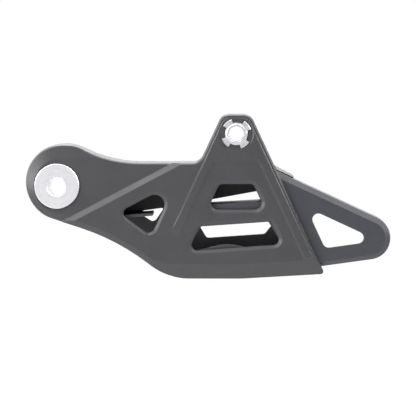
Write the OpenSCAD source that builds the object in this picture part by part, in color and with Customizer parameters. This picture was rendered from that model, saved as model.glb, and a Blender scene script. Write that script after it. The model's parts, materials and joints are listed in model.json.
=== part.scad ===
// Chain guide for the rear end of a motorcycle's swingarm.
// +X points to the rear of the motorcycle, +Z up, and Y across it. The photographed side is -Y.
// The origin is the centre of the front bush's bore, halfway through the guide.
// Depths are measured from the middle plane, so each holds for both sides.

/* [Mounting holes] */
// Distance from the front hole to the top hole along X
mount_x = 96; // [94:0.5:98]
// Height of the top hole above the front hole
mount_z = 28; // [27:0.5:30]
// Bore radius of the front bush
bush_bore_r = 5.1; // [4.2:0.1:5.6]
// Outer radius of the front bush's barrel
bush_r = 8; // [7:0.1:9]
// Radius of the front bush's flange
bush_flange_r = 12; // [10.5:0.1:12.2]
// Thickness of the front bush's flange
bush_flange_t = 3; // [2:0.1:4]
// How far the bush stands proud of the eye at each end
bush_proud = 1.2; // [0.6:0.1:1.8]
// Bore radius of the top sleeve
sleeve_bore_r = 4.1; // [3.2:0.1:4.4]
// Outer radius of the top sleeve's barrel
sleeve_r = 6; // [5.2:0.1:6.6]
// Outer radius of the sleeve's four tabs
tab_r = 8.1; // [7.6:0.1:8.6]
// Thickness of the tabs
tab_t = 1; // [0.6:0.1:1.5]
// Width of one tab, as an angle
tab_angle = 40; // [28:1:50]
// Turn of the first tab from +X
tab_turn = 38; // [20:1:60]
// Width of the slope at the mouth of each bore
mouth = 0.4; // [0.2:0.1:0.6]

/* [Depths from the middle plane] */
// Face of the triangular plate
plate_y = 20; // [19.8:0.1:20.6]
// Face of the body behind the diagonal step
body_y = 19.2; // [18.8:0.1:19.4]
// Face of the arm and the eye
arm_y = 17.2; // [16.8:0.1:17.8]
// Inside of the walls round the wear block
wall_in_y = 16; // [15.8:0.1:16.2]
// Inside of the walls in the arm
arm_in_y = 14; // [13:0.1:14.4]
// Play between the wear block and each wall
slider_play = 0.3; // [0.2:0.05:0.5]
// Half of the gap that the chain runs in
chain_y = 12.5; // [11.5:0.1:12.8]

/* [Eye and arm] */
// Radius of the eye's rim
eye_r = 20.4; // [20:0.1:20.8]
// Centre of the rim, behind the bore
eye_x = 3.2; // [2.8:0.1:3.6]
// Centre of the rim, above the bore
eye_z = 2.1; // [1.7:0.1:2.5]
// Radius of the eye's flat face
eye_face_r = 15; // [14.5:0.1:15.5]
// Height of the eye's flat face above the bore
eye_face_z = 15; // [14.5:0.1:15.5]
// Height of the arm's top
arm_top_z = 12.5; // [12:0.1:13.5]
// Slope of the neck from the eye to the arm
neck_angle = 25; // [23:1:27]
// Thickness of the roof and of the plate's edge walls
roof_t = 3.2; // [2.4:0.1:4]
// Slope of the diagonal step
step_angle = 27.8; // [27:0.1:29]
// Height of the step's foot in the middle of the arm
step_z = -2.1; // [-3:0.1:-1.5]
// Width of the step's sloping face
step_w = 3.1; // [2.4:0.1:3.8]

/* [Plate and body] */
// Height of the apex above the top hole
apex_h = 10.5; // [10.2:0.1:11.5]
// Half width of the apex, before its corners are rounded
apex_half = 7.6; // [7.2:0.1:8]
// Corner radius of the apex
apex_corner_r = 6.4; // [5.5:0.1:6.8]
// Lean of the plate's edges from the vertical
lean = 25; // [24:0.5:26]
// Ledge round the raised plate
ledge = 1.9; // [1.4:0.1:2.4]
// Width of the small slope between ledge and plate
ledge_slope = 0.3; // [0.2:0.1:0.6]
// Width of the slope along the upper edges
edge_w = 0.8; // [0.5:0.1:1.1]
// Depth of the slope along the upper edges
edge_d = 1.8; // [1.3:0.1:1.9]
// Distance from the plate's edge to its shallow pocket
pocket_margin = 7; // [6:0.1:8]
// Where the plate's face starts to rise from the body, from the entry edge
fade_start = 21; // [18:0.5:24]
// Where the plate's face is at its full height, from the entry edge
fade_end = 36; // [30:1:42]
// Top of the shallow pocket
pocket_top_z = 13; // [11:0.5:14]
// Depth of the shallow pocket
pocket_d = 1; // [0.6:0.1:1.2]
// Height of the body's underside
bottom_z = -49.7; // [-50:0.1:-49.2]
// Where the underside starts to rise
rise_x = 99; // [96:0.5:102]
// Rise of the underside and tilt of the wear block
tilt = 3.3; // [3:0.1:3.6]
// Where the entry slope would reach the underside
entry_x = 59.5; // [59:0.1:61]
// Slope of the entry edge
entry_angle = 37.5; // [37:0.1:38]
// Slope of the lower edge behind the eye
belly_angle = 18; // [17.5:0.1:18.5]
// Thickness of the floor under the wear block
floor_t = 3.8; // [3.2:0.1:4.4]
// Front end of the floor
floor_x = 62; // [60:0.5:64]
// Height of the slope along the underside
skirt_h = 8; // [6:0.1:9]
// Depth of the slope along the underside
skirt_d = 4; // [3.2:0.1:4.4]
// Width of the slope along the entry edge
lip_w = 3; // [2:0.1:4]
// Depth of the slope along the entry edge
lip_d = 2; // [1.4:0.1:2.6]

/* [Windows] */
// Width of the plate's two legs
leg_w = 14.5; // [13.5:0.1:15.5]
// Top of the upper window
upper_top_z = 1.1; // [0:0.1:2]
// Bottom of the upper window
upper_low_z = -12.3; // [-13:0.1:-11.6]
// Top of the lower window below the top hole
lower_top_z = -20.2; // [-20.8:0.1:-19.5]
// Bottom of the lower window below the top hole
lower_low_z = -32.8; // [-33.6:0.1:-32.2]
// Tilt of the lower window
lower_tilt = 4; // [3:0.1:4.5]
// Rib between the step and the arm window
step_rib = 7; // [6:0.1:8]
// Rib between the plate and the arm window
plate_rib = 7.1; // [6:0.1:8]
// Rib between the entry edge and the arm window
entry_rib = 12.5; // [11.5:0.1:13.5]
// Slope of the far upper window's top
far_slope = 10.4; // [8:0.1:12]
// Middle of the far upper window's top
far_upper_z = -6.1; // [-6.5:0.1:-5]
// Width of the sloping rim round a window
rim_w = 1.7; // [1.2:0.1:2.2]
// Depth of the sloping rim round a window
rim_d = 1.1; // [0.8:0.1:1.6]

/* [Inner web] */
// Distance along the step from its lower end to the web's root
web_root = 2.8; // [2:0.1:4]
// Rise of the web towards the rear
web_tilt = 4; // [2:0.5:6]
// Thickness of the web
web_t = 1.6; // [1.4:0.1:2.4]
// Rear end of the web
web_x = 51; // [48:0.5:54]

/* [Wear block] */
// Front end of the wear block
slider_x = 66; // [64.5:0.5:68]
// Rear end of the tail
tail_x = 178.6; // [176:0.1:182]
// Slope of the tail's top
tail_fall = 24.9; // [24:0.1:26]
// Slope of the tail's underside
tail_rise = 7.9; // [7:0.1:9]
// Height of the tail's top line above the top hole's X
fin_z = 18; // [17.6:0.1:18.2]
// Radius of the tail's end
tail_r = 11.3; // [10.5:0.1:11.4]
// Top of the block below the top hole
block_top_z = -9; // [-9.6:0.1:-8.6]
// Thickness of the block's roof
block_roof_t = 4; // [3:0.1:5]
// Thickness of the block's running pad
pad_t = 9.7; // [9:0.1:10]
// Thickness of the tail's running pad
tail_pad_t = 6.6; // [5.5:0.1:7]
// Where the block's pad starts to drop to the tail's pad
pad_end = 133; // [131:0.5:135]
// Slope of that drop
pad_fall = 10; // [8:1:12]
// Where the tail's underside leaves the floor
tail_start = 141; // [139:0.5:143]
// Front of the tail's fin
fin_x = 113; // [112:0.5:114]
// Lean of the fin's front
fin_lean = 7; // [5:1:9]
// Thickness of the tail's roof
tail_roof_t = 3.4; // [2.8:0.1:4]
// Width of the slope round the tail
tail_edge_w = 3; // [2.4:0.1:3.4]
// Depth of the slope round the tail
tail_edge_d = 2.2; // [1.8:0.1:2.6]
// Web above the tail window
tail_top_rib = 10.8; // [10:0.1:11.6]
// Web below the tail window
tail_low_rib = 9.4; // [8.6:0.1:10.2]
// Distance from the plate's edge to the tail window
tail_front_rib = 5.9; // [5:0.1:7]

/* [Fasteners] */
// Place of the front screw along X
screw_front_x = 82; // [76:0.5:88]
// Place of the rear screw along X
screw_rear_x = 124; // [116:0.5:130]
// Radius of the screws' shanks
screw_r = 2.5; // [2:0.1:3]
// Radius of the screws' heads
screw_head_r = 4.8; // [4.4:0.1:5.2]
// Length of a screw with its head
screw_len = 10; // [9:0.5:11]
// Outer radius of the inserts
insert_r = 3.6; // [3.4:0.1:4.2]
// Length of the inserts
insert_len = 7; // [6:0.5:7.5]

/* [Hidden] */
$fn = 96;

moulding = [0.17, 0.17, 0.18];
wear_nylon = [0.16, 0.16, 0.19];
aluminium = [0.85, 0.86, 0.88];
zinc = [0.72, 0.73, 0.75];
brass = [0.78, 0.65, 0.35];

// Radial play of pressed parts and of the screws' heads
play = 0.05;
// Radial play of the screws' shanks in the floor
screw_play = 0.25;
// Radial play of the bush's flange in the eye
flange_play = 0.2;
// Length by which a cut runs past a face
over = 2;
// Height by which a sloping cut runs past its face
spill = 0.5;
// A length that runs out past the guide from any place along an edge
beyond = 80;
// Radius of the shallow recess round the top sleeve's tabs
collar_r = 9.2;
// Depth of that recess
collar_d = 0.3;

// A line runs with the solid on its left: [point, direction]
function ray(point, angle) = [point, [cos(angle), sin(angle)]];
function left_of(line) = [-line[1][1], line[1][0]];
function shift(line, d) = [line[0] + d * left_of(line), line[1]];
function flip(line) = [line[0], -line[1]];
function cross2(a, b) = a[0] * b[1] - a[1] * b[0];
function meet(a, b) = a[0] + a[1] * cross2(b[0] - a[0], b[1]) / cross2(a[1], b[1]);
function touching(centre, r, angle) = ray(centre + r * [sin(angle), -cos(angle)], angle);

// A corner is [x, z, radius, steps]. An outline is a list of corners, anticlockwise.
function corner(a, b, r, steps) = [each meet(a, b), r, steps];
function flat(c) = [c[0], c[1]];
function heading(a, b) = (flat(b) - flat(a)) / norm(flat(b) - flat(a));
function around(list, i) = list[(i + len(list)) % len(list)];
function arc(a, b, c) =
    let (u = heading(b, a), w = heading(b, c))
    let (half = acos(max(-1, min(1, u * w))) / 2)
    let (centre = flat(b) + (u + w) / norm(u + w) * b[2] / sin(half))
    let (p = flat(b) + u * b[2] / tan(half) - centre)
    let (turn = (180 - 2 * half) * sign(cross2(-u, w)))
    [for (i = [0:b[3]]) let (t = turn * i / b[3])
        centre + [p[0] * cos(t) - p[1] * sin(t), p[0] * sin(t) + p[1] * cos(t)]];
function outline(c) =
    [for (i = [0:len(c) - 1]) each arc(around(c, i - 1), c[i], around(c, i + 1))];
// Index of a corner's first point in its outline, and of its last
function first_of(c, k) = k == 0 ? 0 : first_of(c, k - 1) + c[k - 1][3] + 1;
function last_of(c, k) = first_of(c, k) + c[k][3];
// The same corners with edge i moved inwards by d[i]. Edge i runs from corner i to the next.
function inset(c, d) = [for (i = [0:len(c) - 1])
    let (u = heading(around(c, i - 1), c[i]), w = heading(c[i], around(c, i + 1)))
    let (before = around(d, i - 1), after = d[i])
    let (a = shift([flat(c[i]), u], before), b = shift([flat(c[i]), w], after))
    let (r = c[i][2] - sign(cross2(u, w)) * (before + after) / 2)
    [each meet(a, b), max(r, 0.3), c[i][3]]];
function even(c, d) = inset(c, [for (i = c) d]);
// A value for each point of an outline, from one [first, last] pair for each corner
function spread(c, pairs) = [for (i = [0:len(c) - 1]) for (k = [0:c[i][3]])
    pairs[i][0] + (pairs[i][1] - pairs[i][0]) * k / c[i][3]];

// An outline in X and Z, extruded across the guide from y0 to y1
module across(y0, y1) {
    translate([0, y1, 0]) rotate([90, 0, 0]) linear_extrude(y1 - y0) children();
}
module both_sides() {
    children();
    mirror([0, 1, 0]) children();
}
// Outline points placed at one depth, or each at its own, on the photographed side
function at_depth(points, y) = [for (p = points) [p[0], -y, p[1]]];
function at_depths(points, ys) = [for (i = [0:len(points) - 1]) [points[i][0], -ys[i], points[i][1]]];
// A convex outline that changes from one depth to the next, outwards from the middle plane
module frustum(loops) {
    n = len(loops[0]);
    last = n * (len(loops) - 1);
    polyhedron(
        points = [for (loop = loops) each loop],
        faces = [
            [for (i = [0:n - 1]) i],
            for (k = [0:len(loops) - 2]) for (i = [0:n - 1])
                [k * n + i, (k + 1) * n + i, (k + 1) * n + (i + 1) % n, k * n + (i + 1) % n],
            [for (i = [n - 1:-1:0]) last + i]
        ]);
}
// A strip that follows an outline from one of its points to a later one. Each loop is one edge of it.
module strip(loops, first, last) {
    m = len(loops);
    n = len(loops[0]);
    count = last - first + 1;
    polyhedron(
        points = [for (i = [first:last]) for (k = [0:m - 1]) loops[k][i % n]],
        faces = [
            [for (k = [m - 1:-1:0]) k],
            for (i = [0:count - 2]) for (k = [0:m - 1])
                [i * m + k, i * m + (k + 1) % m, (i + 1) * m + (k + 1) % m, (i + 1) * m + k],
            [for (k = [0:m - 1]) (count - 1) * m + k]
        ]);
}

// Lines of the carrier's outline
apex_z = mount_z + apex_h;
eye = [eye_x, eye_z];
underside = ray([0, bottom_z], 0);
rise = ray([rise_x, bottom_z], tilt);
rear_edge = ray([mount_x + apex_half, apex_z], 90 + lean);
apex_edge = ray([0, apex_z], 180);
front_edge = ray([mount_x - apex_half, apex_z], 270 - lean);
arm_edge = ray([0, arm_top_z], 180);
neck = touching(eye, eye_r, 180 - neck_angle);
eye_top = touching(eye, eye_r, 180);
eye_front = touching(eye, eye_r, 270);
belly = touching(eye, eye_r, -belly_angle);
entry = ray([entry_x, bottom_z], -entry_angle);
// The step's foot lies on the arm's face, and the body is on its left
step_x = 34;
step = ray([step_x, step_z], 180 + step_angle);
step_crest = shift(step, step_w);

// Radii of the outline's large curves
entry_r = 34;
belly_r = 120;
neck_r = 70;
foot_r = 6;
heel_r = 1.5;
rise_r = 60;

shell = [
    corner(entry, underside, entry_r, 8),
    corner(underside, rise, rise_r, 2),
    corner(rise, rear_edge, heel_r, 4),
    corner(rear_edge, apex_edge, apex_corner_r, 8),
    corner(apex_edge, front_edge, apex_corner_r, 8),
    corner(front_edge, arm_edge, foot_r, 6),
    corner(arm_edge, neck, neck_r, 6),
    corner(neck, eye_top, eye_r, 4),
    corner(eye_top, eye_front, eye_r, 12),
    corner(eye_front, belly, eye_r, 10),
    corner(belly, entry, belly_r, 6)
];
// The part of the outline that is raised behind the step
body = [
    for (i = [0:5]) shell[i],
    corner(arm_edge, step, 0.3, 1),
    corner(step, belly, 0.3, 1),
    shell[10]
];

// Sloping rim of the eye: its face outline, its crown and the edge between them
crown_y = 10;
edge_y = 15.2;
edge_drop = 0.8;
// Fall of the face's top line towards the front
face_fall = 1.5;
// Width of the slope along the belly
belly_slope = 3.2;
face_top = ray([0, eye_face_z], 180 + face_fall);
face_front = ray([-bush_flange_r - flange_play, 0], 270);
face_belly = shift(belly, belly_slope);
eye_face = [
    for (i = [0:6]) shell[i],
    corner(shift(neck, 0.3), face_top, 6, 4),
    corner(face_top, face_front, eye_face_r, 12),
    corner(face_front, face_belly, eye_face_r, 10),
    corner(face_belly, entry, belly_r, 6)
];
// The crown runs out of the solid at the neck and along the belly
module eye_slope() {
    clear = -0.1;
    inner = outline(eye_face);
    edge = outline(inset(shell, [0, 0, 0, 0, 0, 0, clear, edge_drop, edge_drop, clear, clear]));
    rim = outline(inset(shell, [0, 0, 0, 0, 0, 0, clear, 0, 0, clear, clear]));
    out = outline(inset(shell, [0, 0, 0, 0, 0, 0, -over, -over, -over, -over, 0]));
    top = arm_y + over;
    strip([
        at_depth(out, top), at_depth(inner, top), at_depth(inner, arm_y),
        at_depth(edge, edge_y), at_depth(rim, crown_y), at_depth(out, crown_y)
    ], first_of(shell, 7), first_of(shell, 10));
}

// Slope along the entry edge and the underside. It is carried on past the plate's face.
module lower_slope() {
    top = plate_y + spill;
    lip = lip_w * (top - body_y + lip_d) / lip_d;
    skirt = skirt_h * (top - body_y + skirt_d) / skirt_d;
    inner = outline(inset(shell, [skirt, skirt, -1, 0, 0, 0, 0, 0, 0, lip, lip]));
    rim = outline(inset(shell, [0, 0, -1, 0, 0, 0, 0, 0, 0, 0, 0]));
    out = outline(inset(shell, [-over, -over, -1, 0, 0, 0, 0, 0, 0, -over, -over]));
    lip_y = body_y - lip_d;
    skirt_y = body_y - skirt_d;
    ys = spread(shell, [[lip_y, skirt_y], [skirt_y, skirt_y], [skirt_y, skirt_y],
        for (i = [3:10]) [lip_y, lip_y]]);
    strip([at_depth(out, top), at_depth(inner, top), at_depths(rim, ys), at_depths(out, ys)],
        last_of(shell, 9), len(rim) + last_of(shell, 2));
}

// Narrow slope along the plate's edges and the arm's top, down from a face
module edge_slope(face) {
    inner = outline(even(shell, edge_w * (edge_d + spill) / edge_d));
    out = outline(even(shell, -over));
    top = face + spill;
    low = face - edge_d;
    strip([at_depth(out, top), at_depth(inner, top), at_depth(outline(shell), low), at_depth(out, low)],
        last_of(shell, 2), first_of(shell, 7));
}

// Sloping face of the diagonal step, cut from the raised body
module step_slope() {
    top = plate_y + spill;
    low = arm_y - spill;
    pitch = step_w / (body_y - arm_y);
    // It ends just past the outline, so that it misses the plate's front edge
    reach = norm(meet(step_crest, arm_edge) - step_crest[0]) + over;
    function along(d) = [for (t = [beyond, -reach]) shift(step, d)[0] + t * step[1]];
    strip([
        at_depth(along(-over * 2), low), at_depth(along(-spill * pitch), low),
        at_depth(along((top - arm_y) * pitch), top), at_depth(along(-over * 2), top)
    ], 0, 1);
}

// Raised plate: a triangle inside its ledge, fading into the body towards the entry edge
plate = [
    corner(shift(rise, 3), shift(rear_edge, ledge), 0.3, 1),
    corner(shift(rear_edge, ledge), shift(apex_edge, ledge), apex_corner_r - ledge, 6),
    corner(shift(apex_edge, ledge), shift(front_edge, ledge), apex_corner_r - ledge, 6),
    corner(shift(front_edge, ledge), shift(rise, 3), 0.3, 1)
];
module raised_plate() {
    sunk = 0.5;
    steepness = ledge_slope / (plate_y - body_y);
    frustum([
        at_depth(outline(even(plate, -sunk * steepness)), body_y - sunk),
        at_depth(outline(even(plate, ledge_slope)), plate_y)
    ]);
}
module plate_fade() {
    pitch = (fade_end - fade_start) / (plate_y - body_y);
    function along(d) = [for (t = [beyond, -beyond]) shift(entry, d)[0] + t * entry[1]];
    sunk = 0.7;
    low = body_y - sunk;
    top = plate_y + spill;
    strip([
        at_depth(along(-beyond), low), at_depth(along(fade_start - sunk * pitch), low),
        at_depth(along(fade_end + spill * pitch), top), at_depth(along(-beyond), top)
    ], 0, 1);
}
module pocket() {
    c = [
        corner(shift(rise, -over), shift(rear_edge, pocket_margin), 0.3, 1),
        corner(shift(rear_edge, pocket_margin), ray([0, pocket_top_z], 180), 3, 4),
        corner(ray([0, pocket_top_z], 180), shift(front_edge, pocket_margin), 3, 4),
        corner(shift(front_edge, pocket_margin), shift(rise, -over), 0.3, 1)
    ];
    frustum([
        at_depth(outline(c), plate_y - pocket_d),
        at_depth(outline(even(c, -pocket_d - spill)), plate_y + spill)
    ]);
}

// A window with a sloping rim, through one wall whose face and inside are given
module window(c, face, inside) {
    frustum([
        at_depth(outline(c), inside - over),
        at_depth(outline(c), face - rim_d),
        at_depth(outline(even(c, -rim_w * (rim_d + spill) / rim_d)), face + spill)
    ]);
}
leg_front = shift(front_edge, leg_w);
leg_rear = shift(rear_edge, leg_w);
function slot(low, top, low_r, top_r) = [
    corner(leg_front, low, low_r, 6), corner(low, leg_rear, low_r, 6),
    corner(leg_rear, top, top_r, 6), corner(top, leg_front, top_r, 6)
];
arm_window = [
    corner(shift(step_crest, step_rib), shift(entry, entry_rib), 2.8, 6),
    corner(shift(entry, entry_rib), flip(shift(front_edge, -plate_rib)), 3.5, 6),
    corner(flip(shift(front_edge, -plate_rib)), shift(step_crest, step_rib), 5.2, 8)
];
upper_floor = ray([0, upper_low_z], 0);
upper_window = slot(upper_floor, ray([0, upper_top_z], 180), 3.4, 2.5);
lower_window = slot(ray([mount_x, lower_low_z], lower_tilt),
    ray([mount_x, lower_top_z], 180 + lower_tilt), 2.8, 1.6);
far_arm_window = [[41.5, -15.2, 1.5, 4], [50.9, -21.3, 2.5, 6], [56.4, -13.1, 0.5, 2]];
far_upper_window = slot(upper_floor, ray([mount_x, far_upper_z], 180 + far_slope), 1.6, 1.2);

// Hollow between the carrier's walls
block_floor = shift(underside, floor_t);
block_rise = shift(rise, floor_t);
rear_gap_z = 10;
boss_r = sleeve_r + 3;
// How far the arm's hollow laps the one behind the step
step_lap = 9;
// How far the hollow runs out below the belly
belly_room = 24;
// Core of the eye, inside its rim
eye_boss_r = eye_r - 4.4;
web_foot = meet(step, belly) - web_root * step[1];
// How far the web runs into the eye
web_lap = 4;
// What the hollow leaves standing: the bosses and the web
module kept_inside() {
    translate([mount_x, mount_z]) circle(r = boss_r);
    circle(r = eye_boss_r);
    translate(web_foot) rotate(web_tilt) translate([-web_lap, -web_t])
        square([(web_x - web_foot[0]) / cos(web_tilt) + web_lap, web_t]);
}
// Round the wear block, and up into the plate
module hollow_outline() {
    difference() {
        polygon(outline([
            corner(ray([floor_x, 0], 270), block_floor, 0.3, 1),
            corner(block_floor, block_rise, rise_r - floor_t, 2),
            corner(block_rise, ray([tail_x, 0], 90), 0.3, 1),
            corner(ray([tail_x, 0], 90), ray([0, rear_gap_z], 180), 0.3, 1),
            corner(ray([0, rear_gap_z], 180), shift(rear_edge, roof_t), 0.3, 1),
            corner(shift(rear_edge, roof_t), shift(apex_edge, roof_t), 3, 4),
            corner(shift(apex_edge, roof_t), shift(front_edge, roof_t), 3, 4),
            corner(shift(front_edge, roof_t), shift(arm_edge, roof_t), 3, 4),
            corner(shift(arm_edge, roof_t), shift(step, 1), 3, 4),
            corner(shift(step, 1), shift(belly, -belly_room), 0.3, 1),
            corner(shift(belly, -belly_room), ray([floor_x, 0], 90), 0.3, 1)
        ]));
        kept_inside();
    }
}
// Between the arm's walls, above the step
module arm_outline() {
    difference() {
        polygon(outline([
            corner(shift(step, step_lap), shift(arm_edge, roof_t), 2, 4),
            corner(shift(arm_edge, roof_t), shift(neck, roof_t), neck_r, 6),
            corner(shift(neck, roof_t), ray([eye_x, 0], 270), 2, 4),
            corner(ray([eye_x, 0], 270), shift(belly, roof_t), 2, 4),
            corner(shift(belly, roof_t), flip(shift(step, step_lap)), 0.3, 1)
        ]));
        kept_inside();
    }
}

module y_cylinder(r, y0, y1) {
    translate([0, y1, 0]) rotate([90, 0, 0]) cylinder(r = r, h = y1 - y0);
}
// A cone round Y, from radius r0 at y0 to r1 at y1
module y_cone(r0, y0, r1, y1) {
    translate([0, y0, 0]) rotate([-90, 0, 0]) cylinder(r1 = r0, r2 = r1, h = y1 - y0);
}

// Ear of the far wall, which reaches over the tail. Its root lies inside the wall.
ear_y = body_y - 0.6;
ear_root_x = 106;
ear_shoulder = [112.8, 12.4];
ear_tip = [128.2, 4.4];
ear_foot = [124, -8];
ear = [[ear_root_x, ear_shoulder[1], 0.3, 1], [ear_root_x, ear_foot[1], 0.3, 1],
    [each ear_foot, 4, 4], [each ear_tip, 3, 6], [each ear_shoulder, 3, 4]];

// Hood that joins the ear over the tail and thins out towards the photographed side
hood_reach = 8;
hood_edge = 0.8;
hood_root = 0.5;
// Gap between the hood and the plate's rear edge
hood_gap = 0.1;
module hood() {
    front = shift(rear_edge, -hood_gap);
    rear = ray([ear_tip[0] - 1.5, 0], 90);
    crest = shift(tail_top, -hood_edge);
    ear_top = [ear_tip, heading(ear_tip, ear_shoulder)];
    low = [meet(front, tail_top), meet(rear, tail_top)];
    frustum([
        at_depth([each low, meet(rear, crest), meet(front, crest)], -hood_reach),
        at_depth([each low, meet(rear, ear_top), meet(front, ear_top)], wall_in_y + hood_root)
    ]);
}

// Screws stand on the line of the underside, square to it
module at_screw(x) {
    sloped = x > rise_x;
    z = bottom_z + (sloped ? (x - rise_x) * tan(tilt) : 0);
    translate([x, 0, z]) rotate([0, sloped ? -tilt : 0, 0]) children();
}
head_h = screw_head_r - screw_r;
module screw_seat() {
    translate([0, 0, -over]) cylinder(r = screw_head_r + play, h = over);
    cylinder(r1 = screw_head_r + play, r2 = screw_r + play, h = head_h);
    cylinder(r = screw_r + screw_play, h = floor_t + over);
}

// One wall, on the photographed side, without its windows
module wall() {
    difference() {
        union() {
            difference() {
                across(-arm_y, -arm_in_y) polygon(outline(shell));
                eye_slope();
                edge_slope(arm_y);
            }
            difference() {
                across(-body_y, -arm_in_y) polygon(outline(body));
                step_slope();
                edge_slope(body_y);
            }
            difference() {
                raised_plate();
                plate_fade();
                pocket();
            }
            children();
        }
        lower_slope();
        across(-wall_in_y, wall_in_y) hollow_outline();
        y_cylinder(bush_r + play, -plate_y, plate_y);
        translate([mount_x, 0, mount_z]) {
            y_cylinder(sleeve_r + play, -plate_y - over, plate_y + over);
            y_cylinder(collar_r, -plate_y - over, collar_d - plate_y);
        }
    }
}
module bracket_near() {
    color(moulding) difference() {
        wall();
        y_cylinder(bush_flange_r + flange_play, -plate_y, bush_flange_t - arm_y - bush_proud);
        window(arm_window, body_y, wall_in_y);
        window(upper_window, plate_y - pocket_d, wall_in_y);
        window(lower_window, plate_y - pocket_d, wall_in_y);
    }
}
module bracket_far() {
    color(moulding) mirror([0, 1, 0]) {
        difference() {
            wall() across(-ear_y, -wall_in_y) polygon(outline(ear));
            window(far_arm_window, body_y, wall_in_y);
            window(far_upper_window, plate_y - pocket_d, wall_in_y);
            window(lower_window, plate_y - pocket_d, wall_in_y);
        }
        hood();
    }
}
// What joins the walls: the eye, the roof, the plate's edges and the web
module bracket_middle() {
    color(moulding) difference() {
        across(-arm_in_y, arm_in_y) difference() {
            polygon(outline(shell));
            hollow_outline();
            arm_outline();
            floor_space();
            circle(r = bush_r + play);
            translate([mount_x, mount_z]) circle(r = sleeve_r + play);
        }
        both_sides() eye_slope();
    }
}
module floor_space() {
    translate([floor_x - over, bottom_z - over]) square([tail_x - floor_x, floor_t * 3]);
}
module bracket_floor() {
    color(moulding) difference() {
        across(-arm_in_y, arm_in_y) difference() {
            intersection() {
                polygon(outline(shell));
                floor_space();
            }
            hollow_outline();
        }
        at_screw(screw_front_x) screw_seat();
        at_screw(screw_rear_x) screw_seat();
    }
}

// Height above the line of the underside, at a place behind its bend
function above_rise(x, h) = bottom_z + (x - rise_x) * tan(tilt) + h / cos(tilt);
// Outline of the wear block with its tail
block_y = wall_in_y - slider_play;
tail_low = ray([tail_start, above_rise(tail_start, floor_t + 0.3)], tail_rise);
tail_end = ray([tail_x, 0], 90);
tail_top = ray([mount_x, fin_z], 180 - tail_fall);
fin_front = ray([fin_x, 0], 270 - fin_lean);
block_top = ray([mount_x, block_top_z], 180 + tilt);
block_front = ray([slider_x, 0], 270);
block = [
    corner(block_front, block_floor, 0.5, 1),
    corner(block_floor, block_rise, rise_r - floor_t, 2),
    corner(block_rise, tail_low, 30, 2),
    corner(tail_low, tail_end, tail_r, 8),
    corner(tail_end, tail_top, tail_r, 8),
    corner(tail_top, fin_front, 2, 4),
    corner(fin_front, block_top, 1, 3),
    corner(block_top, block_front, 1, 2)
];
// The chain's tunnel, open at both ends
pad_drop = ray([pad_end, above_rise(pad_end, floor_t + pad_t)], -pad_fall);
tunnel = [
    corner(ray([slider_x - over, 0], 270), shift(block_floor, pad_t), 0.3, 1),
    corner(shift(block_floor, pad_t), shift(block_rise, pad_t), rise_r, 2),
    corner(shift(block_rise, pad_t), pad_drop, 20, 4),
    corner(pad_drop, shift(tail_low, tail_pad_t), 20, 4),
    corner(shift(tail_low, tail_pad_t), shift(tail_end, -over), 0.3, 1),
    corner(shift(tail_end, -over), shift(tail_top, tail_roof_t), 0.3, 1),
    corner(shift(tail_top, tail_roof_t), shift(fin_front, tail_roof_t), 2, 4),
    corner(shift(fin_front, tail_roof_t), shift(block_top, block_roof_t), 8, 4),
    corner(shift(block_top, block_roof_t), ray([slider_x - over, 0], 270), 0.3, 1)
];
tail_window = [
    corner(flip(shift(rear_edge, -tail_front_rib)), shift(tail_low, tail_low_rib), 3.2, 6),
    corner(shift(tail_low, tail_low_rib), shift(tail_top, tail_top_rib), 3.2, 6),
    corner(shift(tail_top, tail_top_rib), flip(shift(rear_edge, -tail_front_rib)), 3.2, 6)
];
far_tail_window = [
    corner(flip(shift(rear_edge, -tail_front_rib)), shift(tail_low, tail_pad_t + 0.4), 3.2, 6),
    corner(shift(tail_low, tail_pad_t + 0.4), shift(tail_top, tail_top_rib), 3.2, 6),
    corner(shift(tail_top, tail_top_rib), flip(shift(rear_edge, -tail_front_rib)), 3.2, 6)
];
// The wear block's own windows. The near one's lower edge is arched.
near_block_window = [[69, -34.6, 0.5, 1], [76, -34.2, 6, 3], [92, -30.5, 26, 6], [102.5, -33.4, 6, 3],
    [121, -32, 1, 2], [111, -15.5, 2, 4], [80, -17.3, 2, 4]];
far_block_window = [[79.8, -29.4, 2, 4], [111.6, -27.2, 2, 4], [120.5, -16, 2, 4], [72.4, -17, 2, 4]];

module tail_slope() {
    wide = tail_edge_w * (tail_edge_d + spill) / tail_edge_d;
    low = tail_edge_w * 0.8 * (tail_edge_d + spill) / tail_edge_d;
    inner = outline(inset(block, [0, 0, low, wide, wide, 0, 0, 0]));
    rim = outline(block);
    out = outline(inset(block, [0, 0, -over, -over, -over, 0, 0, 0]));
    top = block_y + spill;
    edge = block_y - tail_edge_d;
    strip([at_depth(out, top), at_depth(inner, top), at_depth(rim, edge), at_depth(out, edge)],
        last_of(block, 2), first_of(block, 5));
}

module chain_slider() {
    color(wear_nylon) difference() {
        across(-block_y, block_y) polygon(outline(block));
        across(-chain_y, chain_y) polygon(outline(tunnel));
        both_sides() tail_slope();
        across(-block_y - over, -chain_y + over) {
            polygon(outline(tail_window));
            polygon(outline(near_block_window));
        }
        across(chain_y - over, block_y + over) {
            polygon(outline(far_tail_window));
            polygon(outline(far_block_window));
        }
        at_screw(screw_front_x) insert_seat();
        at_screw(screw_rear_x) insert_seat();
    }
}
module insert_seat() {
    translate([0, 0, floor_t - over]) cylinder(r = insert_r + play, h = insert_len + over);
}

module insert() {
    difference() {
        translate([0, 0, floor_t]) cylinder(r = insert_r, h = insert_len);
        translate([0, 0, floor_t - over]) cylinder(r = screw_r + play, h = insert_len + over * 2);
    }
}
module insert_front() {
    color(brass) at_screw(screw_front_x) insert();
}
module insert_rear() {
    color(brass) at_screw(screw_rear_x) insert();
}

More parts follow.
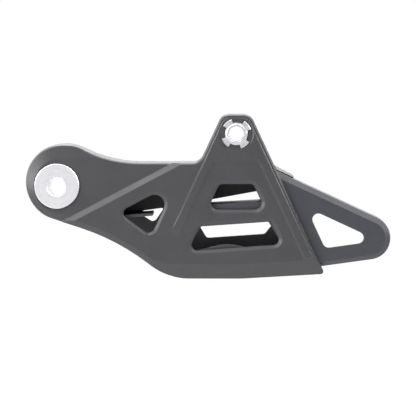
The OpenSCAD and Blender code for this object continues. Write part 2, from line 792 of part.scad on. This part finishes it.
module screw() {
    socket_r = screw_r * 0.72;
    difference() {
        union() {
            cylinder(r1 = screw_head_r, r2 = screw_r, h = head_h);
            cylinder(r = screw_r, h = screw_len - 0.4);
            translate([0, 0, screw_len - 0.4]) cylinder(r1 = screw_r, r2 = screw_r - 0.4, h = 0.4);
        }
        translate([0, 0, -over]) cylinder(r = socket_r, h = over + 1.8, $fn = 6);
    }
}
module slider_screw_front() {
    color(zinc) at_screw(screw_front_x) screw();
}
module slider_screw_rear() {
    color(zinc) at_screw(screw_rear_x) screw();
}

// A bore along Y with a sloping mouth at each end
module bore(r, y0, y1) {
    y_cylinder(r, y0 - over, y1 + over);
    y_cone(r + mouth + over, y0 - over, r, y0 + mouth);
    y_cone(r, y1 - mouth, r + mouth + over, y1 + over);
}

module front_bush() {
    front = -arm_y - bush_proud;
    color(aluminium) difference() {
        union() {
            y_cone(bush_flange_r - 0.3, front, bush_flange_r, front + 0.3);
            y_cylinder(bush_flange_r, front + 0.3, front + bush_flange_t);
            y_cylinder(bush_r, front + 0.5, arm_y);
        }
        bore(bush_bore_r, front, arm_y);
    }
}

module top_sleeve() {
    seat = collar_d - plate_y;
    front = seat - tab_t;
    color(zinc) translate([mount_x, 0, mount_z]) difference() {
        union() {
            y_cylinder(sleeve_r, front, plate_y - collar_d);
            across(front, seat) intersection() {
                circle(r = tab_r);
                for (turn = [0:90:270]) rotate(tab_turn + turn) polygon(over * 6 * [
                    [0, 0], [cos(tab_angle / 2), -sin(tab_angle / 2)],
                    [cos(tab_angle / 2), sin(tab_angle / 2)]]);
            }
        }
        bore(sleeve_bore_r, front, plate_y - collar_d);
    }
}

bracket_near();
bracket_middle();
bracket_floor();
bracket_far();
chain_slider();
front_bush();
top_sleeve();
slider_screw_front();
slider_screw_rear();
insert_front();
insert_rear();
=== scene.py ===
"""Looks of the motorcycle chain guide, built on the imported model. Lengths are in metres."""

import json
import math

import bmesh
import bpy
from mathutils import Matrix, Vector


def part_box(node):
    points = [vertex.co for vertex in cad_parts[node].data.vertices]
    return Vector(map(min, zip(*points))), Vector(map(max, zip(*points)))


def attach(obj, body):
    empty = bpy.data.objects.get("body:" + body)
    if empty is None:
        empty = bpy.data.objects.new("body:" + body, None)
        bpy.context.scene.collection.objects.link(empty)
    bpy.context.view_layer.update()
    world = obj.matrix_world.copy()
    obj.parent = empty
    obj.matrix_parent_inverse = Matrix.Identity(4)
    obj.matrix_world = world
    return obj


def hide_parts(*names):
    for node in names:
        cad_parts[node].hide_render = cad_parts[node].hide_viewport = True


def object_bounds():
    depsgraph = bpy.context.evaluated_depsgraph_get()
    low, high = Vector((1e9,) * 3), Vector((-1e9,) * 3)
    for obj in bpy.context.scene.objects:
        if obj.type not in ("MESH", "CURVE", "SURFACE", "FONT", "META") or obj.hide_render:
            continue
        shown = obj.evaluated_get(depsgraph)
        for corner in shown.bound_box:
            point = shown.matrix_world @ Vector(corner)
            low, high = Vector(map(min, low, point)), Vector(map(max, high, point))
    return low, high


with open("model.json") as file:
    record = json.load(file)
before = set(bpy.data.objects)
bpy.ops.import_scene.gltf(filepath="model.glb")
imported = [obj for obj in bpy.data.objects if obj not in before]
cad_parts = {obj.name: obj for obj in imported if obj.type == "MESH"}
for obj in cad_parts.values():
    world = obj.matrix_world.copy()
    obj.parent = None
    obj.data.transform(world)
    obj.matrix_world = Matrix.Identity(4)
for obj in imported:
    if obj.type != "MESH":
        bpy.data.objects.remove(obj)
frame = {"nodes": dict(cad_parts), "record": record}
nodes = frame["nodes"]
cad_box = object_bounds()
mounts = {m["name"]: m for m in frame["record"]["mounts"]}
bush_axis = Vector(mounts["front_mount"]["pos_m"])
sleeve_axis = Vector(mounts["top_mount"]["pos_m"])
MM = 0.001


# Shader helpers
def new_material(name):
    """An empty node material, as (material, node maker, link maker)."""
    material = bpy.data.materials.new(name)
    material.use_nodes = True
    tree = material.node_tree
    tree.nodes.clear()

    def add(kind, **values):
        node = tree.nodes.new(kind)
        for key, value in values.items():
            setattr(node, key, value)
        return node

    return material, add, tree.links.new


def set_inputs(node, **values):
    for key, value in values.items():
        node.inputs[key.replace("_", " ")].default_value = value


def noise(add, link, coords, size, detail=2.0):
    """Noise whose blobs are about size metres across."""
    node = add("ShaderNodeTexNoise")
    set_inputs(node, Scale=1 / size, Detail=detail)
    link(coords, node.inputs["Vector"])
    return node.outputs["Fac"]


def ramp(add, link, value, stops):
    """Colours along a value, as (position, colour) stops."""
    node = add("ShaderNodeValToRGB")
    elements = node.color_ramp.elements
    while len(elements) < len(stops):
        elements.new(0.5)
    for element, (place, colour) in zip(elements, stops):
        element.position = place
        element.color = (*colour, 1)
    link(value, node.inputs["Fac"])
    return node.outputs["Color"]


def to_range(add, link, value, low, high, start=0.0, end=1.0):
    node = add("ShaderNodeMapRange")
    set_inputs(node, From_Min=start, From_Max=end, To_Min=low, To_Max=high)
    link(value, node.inputs["Value"])
    return node.outputs["Result"]


def bump(add, link, height, depth, before=None):
    """A bump whose full height is depth metres."""
    node = add("ShaderNodeBump")
    set_inputs(node, Strength=1.0, Distance=depth)
    link(height, node.inputs["Height"])
    if before is not None:
        link(before, node.inputs["Normal"])
    return node.outputs["Normal"]


def moulded_nylon(name, dark, light, rough_low, rough_high, grain_depth):
    """Black nylon with the fine grain of its mould and a faint flow pattern."""
    material, add, link = new_material(name)
    coords = add("ShaderNodeTexCoord").outputs["Object"]
    grain = noise(add, link, coords, 0.45 * MM, 3)
    flow = noise(add, link, coords, 14 * MM, 4)
    speckle = noise(add, link, coords, 0.9 * MM, 2)
    shader = add("ShaderNodeBsdfPrincipled")
    set_inputs(shader, IOR=1.5)
    mix = add("ShaderNodeMath", operation="MULTIPLY_ADD")
    mix.inputs[1].default_value = 0.55
    link(speckle, mix.inputs[0])
    link(to_range(add, link, flow, 0.1, 0.35), mix.inputs[2])
    link(ramp(add, link, mix.outputs[0], [(0.3, dark), (0.7, light)]), shader.inputs["Base Color"])
    link(to_range(add, link, flow, rough_low, rough_high, 0.3, 0.7), shader.inputs["Roughness"])
    low = bump(add, link, flow, 0.04 * MM)
    link(bump(add, link, grain, grain_depth, low), shader.inputs["Normal"])
    link(shader.outputs["BSDF"], add("ShaderNodeOutputMaterial").inputs["Surface"])
    return material


def turned_metal(name, colour, dull, roughness, axis, pitch, groove):
    """Metal with turning marks round an axis along Y."""
    material, add, link = new_material(name)
    coords = add("ShaderNodeTexCoord").outputs["Object"]
    split = add("ShaderNodeSeparateXYZ")
    link(coords, split.inputs["Vector"])
    flat = add("ShaderNodeCombineXYZ")
    for key, centre in (("X", axis.x), ("Z", axis.z)):
        shift = add("ShaderNodeMath", operation="SUBTRACT")
        shift.inputs[1].default_value = centre
        link(split.outputs[key], shift.inputs[0])
        link(shift.outputs[0], flat.inputs[key])
    radius = add("ShaderNodeVectorMath", operation="LENGTH")
    link(flat.outputs["Vector"], radius.inputs[0])
    ring_place = add("ShaderNodeCombineXYZ")
    link(radius.outputs["Value"], ring_place.inputs["X"])
    link(split.outputs["Y"], ring_place.inputs["Y"])
    rings = noise(add, link, ring_place.outputs["Vector"], pitch, 4)
    stain = noise(add, link, coords, 2.5 * MM, 4)
    shader = add("ShaderNodeBsdfPrincipled")
    set_inputs(shader, Metallic=1.0)
    link(ramp(add, link, stain, [(0.3, dull), (0.65, colour)]), shader.inputs["Base Color"])
    low, high = roughness
    link(to_range(add, link, rings, low, high, 0.3, 0.7), shader.inputs["Roughness"])
    link(bump(add, link, rings, groove), shader.inputs["Normal"])
    link(shader.outputs["BSDF"], add("ShaderNodeOutputMaterial").inputs["Surface"])
    return material


def plated_steel(name, colour, dull, roughness):
    """Zinc plating: a faint mottled tone and a fine tumbled texture."""
    material, add, link = new_material(name)
    coords = add("ShaderNodeTexCoord").outputs["Object"]
    mottle = noise(add, link, coords, 1.6 * MM, 5)
    tumble = noise(add, link, coords, 0.3 * MM, 3)
    shader = add("ShaderNodeBsdfPrincipled")
    set_inputs(shader, Metallic=1.0)
    link(ramp(add, link, mottle, [(0.3, dull), (0.7, colour)]), shader.inputs["Base Color"])
    low, high = roughness
    link(to_range(add, link, mottle, low, high, 0.3, 0.7), shader.inputs["Roughness"])
    link(bump(add, link, tumble, 0.012 * MM), shader.inputs["Normal"])
    link(shader.outputs["BSDF"], add("ShaderNodeOutputMaterial").inputs["Surface"])
    return material


carrier_nodes = ("bracket_near", "bracket_middle", "bracket_floor", "bracket_far")
black_nylon = moulded_nylon(
    "black_nylon", (0.024, 0.024, 0.027), (0.034, 0.034, 0.038), 0.34, 0.44, 0.012 * MM)
wear_nylon = moulded_nylon(
    "wear_nylon", (0.022, 0.023, 0.029), (0.032, 0.033, 0.041), 0.32, 0.42, 0.01 * MM)
aluminium = turned_metal(
    "turned_aluminium", (0.88, 0.88, 0.91), (0.82, 0.82, 0.85), (0.26, 0.36), bush_axis,
    0.18 * MM, 0.005 * MM)
zinc_steel = plated_steel("zinc_steel", (0.74, 0.74, 0.77), (0.62, 0.62, 0.64), (0.28, 0.4))
screw_steel = plated_steel("screw_steel", (0.62, 0.62, 0.64), (0.5, 0.5, 0.52), (0.3, 0.4))
insert_brass = plated_steel("insert_brass", (0.72, 0.53, 0.25), (0.6, 0.42, 0.18), (0.28, 0.38))
materials = {
    **{name: black_nylon for name in carrier_nodes},
    "chain_slider": wear_nylon,
    "front_bush": aluminium,
    "top_sleeve": zinc_steel,
    "slider_screw_front": screw_steel,
    "slider_screw_rear": screw_steel,
    "insert_front": insert_brass,
    "insert_rear": insert_brass,
}
for name, node in nodes.items():
    node.data.materials.clear()
    node.data.materials.append(materials[name])


def new_piece(name, form, material, replaced):
    """A piece made from a bmesh, which stands for one or more nodes of the fixed body."""
    mesh = bpy.data.meshes.new(name)
    form.to_mesh(mesh)
    form.free()
    mesh.materials.append(material)
    piece = bpy.data.objects.new(name, mesh)
    bpy.context.scene.collection.objects.link(piece)
    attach(piece, "root")
    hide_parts(*replaced)
    return piece


def triangles_of(thing):
    bpy.context.view_layer.update()
    shown = thing.evaluated_get(bpy.context.evaluated_depsgraph_get())
    mesh = shown.to_mesh()
    count = sum(len(p.vertices) - 2 for p in mesh.polygons)
    shown.to_mesh_clear()
    return count


# Moulded edges: the surface is rebuilt on a fine grid, relaxed, and thinned where it is flat
def soften(thing, voxel, passes, triangles):
    remesh = thing.modifiers.new("grid", "REMESH")
    remesh.mode = "VOXEL"
    remesh.voxel_size = voxel
    remesh.use_smooth_shade = True
    relax = thing.modifiers.new("relax", "SMOOTH")
    relax.factor = 0.5
    relax.iterations = passes
    thin = thing.modifiers.new("thin", "DECIMATE")
    thin.ratio = 1
    thin.ratio = min(1, triangles / triangles_of(thing))
    thing.modifiers.new("flat_faces", "WEIGHTED_NORMAL")


def make_carrier():
    """The carrier is one moulding, so its four nodes are joined before its edges are softened."""
    form = bmesh.new()
    for name in carrier_nodes:
        form.from_mesh(nodes[name].data)
    bmesh.ops.remove_doubles(form, verts=form.verts, dist=0.001 * MM)
    carrier = new_piece("carrier", form, black_nylon, carrier_nodes)
    soften(carrier, 0.25 * MM, 3, 190000)


# Turned pieces: a closed profile of (radius, depth) points is carried round an axis along Y
def carried_round(form, axis, sections):
    """Skin between sections, each an angle and a profile with the same number of points."""
    rings = []
    for angle, profile in sections:
        out = Vector((math.cos(angle), 0, math.sin(angle)))
        rings.append([form.verts.new(axis + r * out + Vector((0, y, 0))) for r, y in profile])
    for ring, after in zip(rings, rings[1:] + rings[:1]):
        for i, low in enumerate(ring):
            j = (i + 1) % len(ring)
            form.faces.new((low, after[i], after[j], ring[j]))
    bmesh.ops.recalc_face_normals(form, faces=form.faces)


def shade_turned(piece, angle):
    for polygon in piece.data.polygons:
        polygon.use_smooth = True
    piece.data.set_sharp_from_angle(angle=math.radians(angle))


def make_bush():
    """Flanged bush with broken edges and a thin groove near the far end of its bore."""
    low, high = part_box("front_bush")
    front, back = low[1], high[1]
    flange_r = (high[0] - low[0]) / 2
    barrel_r = 8 * MM
    flange_t = 3 * MM
    bore_r = mounts["front_mount"]["dims"]["r_mm"] * MM
    mouth = 0.4 * MM
    rim = 0.35 * MM
    edge = 0.3 * MM
    groove_y = back - 1.3 * MM
    groove_w = 0.22 * MM
    groove_d = 0.3 * MM
    profile = [
        (bore_r + mouth, front), (flange_r - rim, front), (flange_r, front + rim),
        (flange_r, front + flange_t - edge), (flange_r - edge, front + flange_t),
        (barrel_r, front + flange_t), (barrel_r, back - edge), (barrel_r - edge, back),
        (bore_r + mouth, back), (bore_r, back - mouth),
        (bore_r, groove_y + groove_w), (bore_r + groove_d, groove_y + groove_w),
        (bore_r + groove_d, groove_y), (bore_r, groove_y), (bore_r, front + mouth),
    ]
    steps = 160
    form = bmesh.new()
    carried_round(form, bush_axis, [(2 * math.pi * i / steps, profile) for i in range(steps)])
    bush = new_piece("bush", form, aluminium, ["front_bush"])
    shade_turned(bush, 30)


def make_sleeve():
    """Sleeve whose flange is cut to four tabs, with a raised lip round its bore."""
    low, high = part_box("top_sleeve")
    front, back = low[1], high[1]
    barrel_r = 6 * MM
    tab_r = 8.1 * MM
    tab_half = math.radians(20)
    first_tab = math.radians(38)
    disc = front + 0.22 * MM
    seat = front + 1 * MM
    bore_r = mounts["top_mount"]["dims"]["r_mm"] * MM
    mouth = 0.35 * MM
    lip_r = 5.25 * MM
    edge = 0.18 * MM
    hair = 0.02 * MM

    def profile(outer):
        return [
            (bore_r + mouth, front), (lip_r - edge, front), (lip_r + edge, disc),
            (outer - edge, disc), (outer, disc + edge), (outer, seat - edge / 2),
            (outer - edge / 2, seat), (barrel_r - hair, seat + hair),
            (barrel_r - hair, back - edge), (barrel_r - edge, back),
            (bore_r + mouth, back), (bore_r, back - mouth), (bore_r, front + mouth),
        ]

    sections = []
    side = math.radians(0.8)
    quarter = math.pi / 2
    gap_steps, tab_steps = 20, 16
    for k in range(4):
        middle = first_tab + k * quarter
        for i in range(tab_steps + 1):
            sections.append((middle - tab_half + 2 * tab_half * i / tab_steps, profile(tab_r)))
        start = middle + tab_half + side
        span = quarter - 2 * (tab_half + side)
        for i in range(gap_steps + 1):
            sections.append((start + span * i / gap_steps, profile(barrel_r)))
    form = bmesh.new()
    carried_round(form, sleeve_axis, sections)
    sleeve = new_piece("sleeve", form, zinc_steel, ["top_sleeve"])
    shade_turned(sleeve, 30)


# Machined edges: a narrow bevel
def break_edges(node, width):
    weld = node.modifiers.new("weld", "WELD")
    weld.merge_threshold = 0.001 * MM
    bevel = node.modifiers.new("edge", "BEVEL")
    bevel.width = width
    bevel.segments = 2
    bevel.limit_method = "ANGLE"
    bevel.angle_limit = math.radians(40)


make_carrier()
soften(nodes["chain_slider"], 0.3 * MM, 3, 130000)
make_bush()
make_sleeve()
for name in ("slider_screw_front", "slider_screw_rear", "insert_front", "insert_rear"):
    break_edges(nodes[name], 0.12 * MM)


# Floor, light and camera
def white_for_the_camera(add, link):
    """1 for the rays that see the background itself or its mirror image."""
    path = add("ShaderNodeLightPath")
    shown = add("ShaderNodeMath", operation="MAXIMUM")
    link(path.outputs["Is Camera Ray"], shown.inputs[0])
    link(path.outputs["Is Glossy Ray"], shown.inputs[1])
    return shown.outputs[0]


def make_floor():
    """A floor that fades into the white background away from the part, and keeps its shadow near it."""
    below = cad_box[0][2] - 0.1
    bpy.ops.mesh.primitive_plane_add(size=12, location=(0.08, 0, below))
    floor = bpy.context.object
    floor.name = "floor"
    material, add, link = new_material("floor_white")
    matte = add("ShaderNodeBsdfDiffuse")
    matte.inputs["Color"].default_value = (0.9, 0.9, 0.9, 1)
    white = add("ShaderNodeEmission")
    set_inputs(white, Strength=1.0)
    away = add("ShaderNodeVectorMath", operation="LENGTH")
    link(add("ShaderNodeTexCoord").outputs["Object"], away.inputs[0])
    fade = to_range(add, link, away.outputs["Value"], 0.75, 1.0, 0.15, 0.6)
    share = add("ShaderNodeMath", operation="MULTIPLY")
    link(white_for_the_camera(add, link), share.inputs[0])
    link(fade, share.inputs[1])
    mix = add("ShaderNodeMixShader")
    link(share.outputs[0], mix.inputs["Fac"])
    link(matte.outputs[0], mix.inputs[1])
    link(white.outputs[0], mix.inputs[2])
    link(mix.outputs[0], add("ShaderNodeOutputMaterial").inputs["Surface"])
    floor.data.materials.append(material)


def make_world():
    """A light tent: plain white, dimmer on the camera's side and a little brighter overhead."""
    world = bpy.data.worlds.new("studio")
    bpy.context.scene.world = world
    world.use_nodes = True
    tree = world.node_tree
    tree.nodes.clear()
    link = tree.links.new

    def add(kind, **values):
        node = tree.nodes.new(kind)
        for key, value in values.items():
            setattr(node, key, value)
        return node

    split = add("ShaderNodeSeparateXYZ")
    link(add("ShaderNodeTexCoord").outputs["Generated"], split.inputs["Vector"])
    depth = to_range(add, link, split.outputs["Y"], 0.5, 1.1, -1.0, 0.0)
    height = to_range(add, link, split.outputs["Z"], 0.8, 1.3, -1.0, 1.0)
    level = add("ShaderNodeMath", operation="MULTIPLY")
    link(depth, level.inputs[0])
    link(height, level.inputs[1])
    soft = add("ShaderNodeBackground")
    link(level.outputs[0], soft.inputs["Strength"])
    white = add("ShaderNodeBackground")
    for shader in (soft, white):
        shader.inputs["Color"].default_value = (1, 1, 1, 1)
    path = add("ShaderNodeLightPath")
    mix = add("ShaderNodeMixShader")
    link(path.outputs["Is Camera Ray"], mix.inputs["Fac"])
    link(soft.outputs[0], mix.inputs[1])
    link(white.outputs[0], mix.inputs[2])
    link(mix.outputs[0], add("ShaderNodeOutputWorld").inputs["Surface"])


def make_lamp(name, heading, distance, size, radiance):
    """A square soft lamp in a given direction from the middle of the part."""
    middle = Vector((0.08, 0, 0))
    data = bpy.data.lights.new(name, "AREA")
    data.shape = "SQUARE"
    data.size = size
    data.energy = radiance * math.pi * size * size
    lamp = bpy.data.objects.new(name, data)
    lamp.location = middle + Vector(heading).normalized() * distance
    lamp.rotation_euler = (middle - lamp.location).to_track_quat("-Z", "Y").to_euler()
    bpy.context.scene.collection.objects.link(lamp)


def make_camera():
    """The photograph's view: a long lens, a little above the part, looking slightly down."""
    near_face = -20 * MM
    distance = 1.339
    place = Vector((95.8 * MM, near_face - distance, 53.6 * MM))
    aim = Vector((80.9 * MM, near_face, -11.5 * MM))
    data = bpy.data.cameras.new("camera")
    data.sensor_width = 36
    data.lens = 217.4
    data.clip_end = 50
    camera = bpy.data.objects.new("camera", data)
    camera.location = place
    camera.rotation_euler = (aim - place).to_track_quat("-Z", "Y").to_euler()
    bpy.context.scene.collection.objects.link(camera)
    bpy.context.scene.camera = camera


make_floor()
make_world()
make_lamp("left_light", (-0.78, -0.6, 0.15), 1.1, 0.6, 8)
make_lamp("top_left_light", (-0.42, -0.35, 0.84), 1.1, 0.6, 5)
make_lamp("top_right_light", (0.5, -0.3, 0.8), 1.1, 0.6, 3)
make_lamp("back_light", (0.05, 0.75, 0.65), 1.1, 0.8, 3)
make_lamp("left_rim_light", (-0.88, 0.25, 0.4), 1.1, 0.6, 5)
make_lamp("right_light", (0.92, 0.06, 0.38), 1.1, 0.6, 6)
make_camera()

bpy.context.scene.view_settings.view_transform = "Standard"
